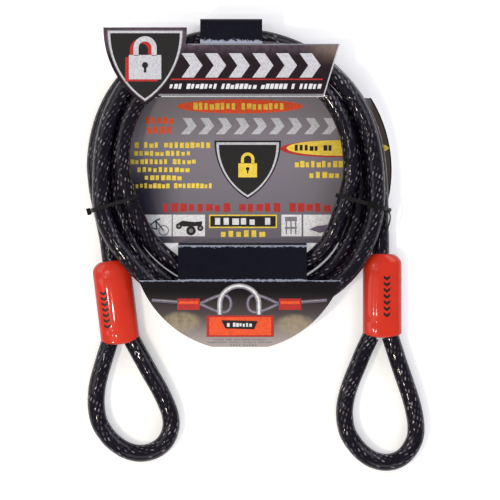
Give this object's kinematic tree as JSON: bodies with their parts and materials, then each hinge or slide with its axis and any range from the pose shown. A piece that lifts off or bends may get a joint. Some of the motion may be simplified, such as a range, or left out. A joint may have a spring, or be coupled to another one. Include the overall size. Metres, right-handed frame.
{
  "type": "cable lock",
  "caption": "Coiled vinyl-jacketed steel security cable with a crimped eye at each end for a padlock, tied up on a folded display card.",
  "frame": {"origin": "the coil's centre, on the back face of the card panel", "axes": "+Z from the card's back towards its printed front, -Y towards the two eyes, +X to the right seen from the front"},
  "size_m": [0.2533, 0.3369, 0.0361],
  "materials": {
    "vinyl": "smoked translucent vinyl, glossy",
    "wire_rope": "bright galvanised strands",
    "ferrule": "pressed",
    "sleeve": "glossy moulded",
    "tie": "moulded nylon",
    "card_print": "printed card, satin varnish",
    "card_black": "printed card, satin varnish"
  },
  "bodies": {
    "coil": {"coil_jacket": "vinyl", "coil_rope": "wire_rope", "left_tie": "tie", "right_tie": "tie", "card_panel": "card_print", "card_strap": "card_black", "card_band": "card_black"},
    "header": {"header_flap": "card_black"},
    "flap": {"lower_flap": "card_print"},
    "left_end": {"left_tail_jacket": "vinyl", "left_rope": "wire_rope", "left_ferrule": "ferrule", "left_sleeve": "sleeve", "left_eye_jacket": "vinyl"},
    "right_end": {"right_tail_jacket": "vinyl", "right_rope": "wire_rope", "right_ferrule": "ferrule", "right_sleeve": "sleeve", "right_eye_jacket": "vinyl"}
  },
  "joints": [
    {"name": "left_end_swing", "type": "hinge", "parent": "coil", "child": "left_end", "pos_m": [-0.10055, -0.03416, 0.0089], "axis": [0, 0, -1], "range_deg": [0, 20], "stiffness_Nm_per_rad": 8},
    {"name": "right_end_swing", "type": "hinge", "parent": "coil", "child": "right_end", "pos_m": [0.107, -0.0339, 0.0089], "axis": [0, 0, 1], "range_deg": [0, 20], "stiffness_Nm_per_rad": 8},
    {"name": "header_lift", "type": "hinge", "parent": "coil", "child": "header", "pos_m": [0, 0.0915, 0.0361], "axis": [-1, 0, 0], "range_deg": [0, 25]},
    {"name": "flap_lift", "type": "hinge", "parent": "coil", "child": "flap", "pos_m": [0, -0.084, 0.0291], "axis": [-1, 0, 0], "range_deg": [0, 95]}
  ]
}
